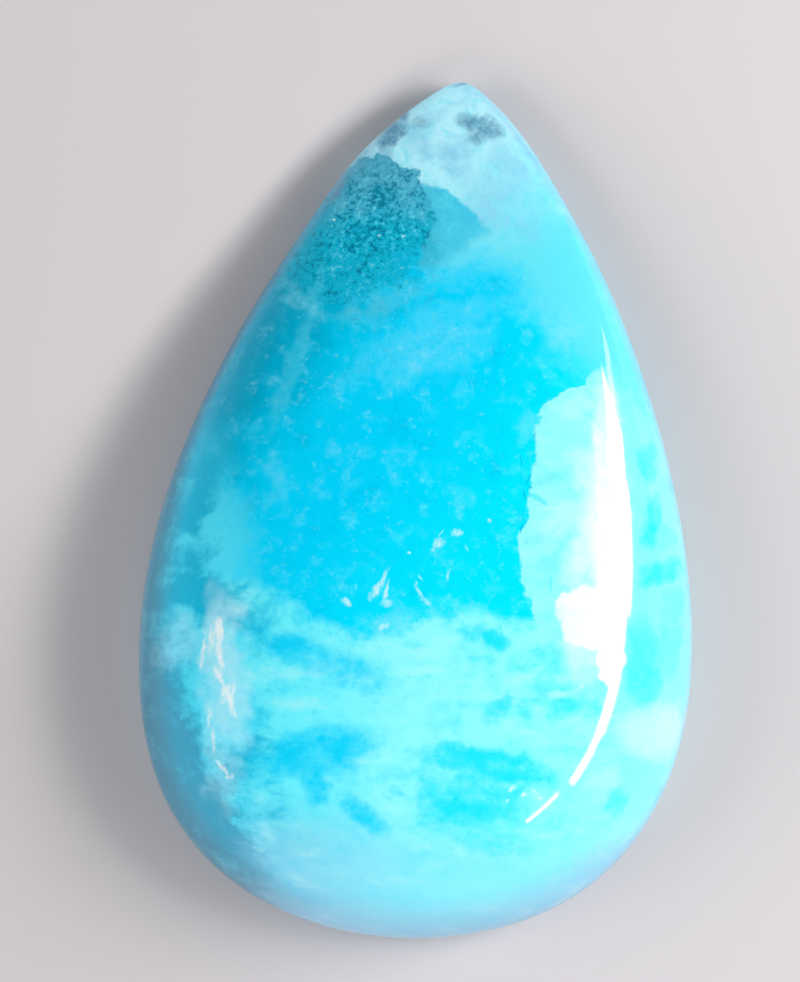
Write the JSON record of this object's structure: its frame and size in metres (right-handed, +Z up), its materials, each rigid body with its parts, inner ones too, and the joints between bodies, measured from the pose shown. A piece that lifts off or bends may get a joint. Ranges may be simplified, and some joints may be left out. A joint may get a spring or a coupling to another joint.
{
  "type": "caribbean calcite cabochon",
  "caption": "Polished pear-shaped calcite stone with a flat back, a bevelled girdle and a smooth dome that falls to the tip, cut to be set in a bezel or glued to a backing.",
  "frame": {"origin": "in the plane of the flat back, under the middle of the outline's box", "axes": "+Z up out of the dome, +Y from the round end to the tip, +X to the side that the tip leans to"},
  "size_m": [0.0246, 0.038, 0.0072],
  "materials": {
    "polished_calcite": "high polish, translucent sky blue to aqua body with milky white clouds, a mint-white patch and a dark teal grainy patch near the tip"
  },
  "bodies": {
    "root": {"cabochon": "polished_calcite"}
  },
  "joints": []
}
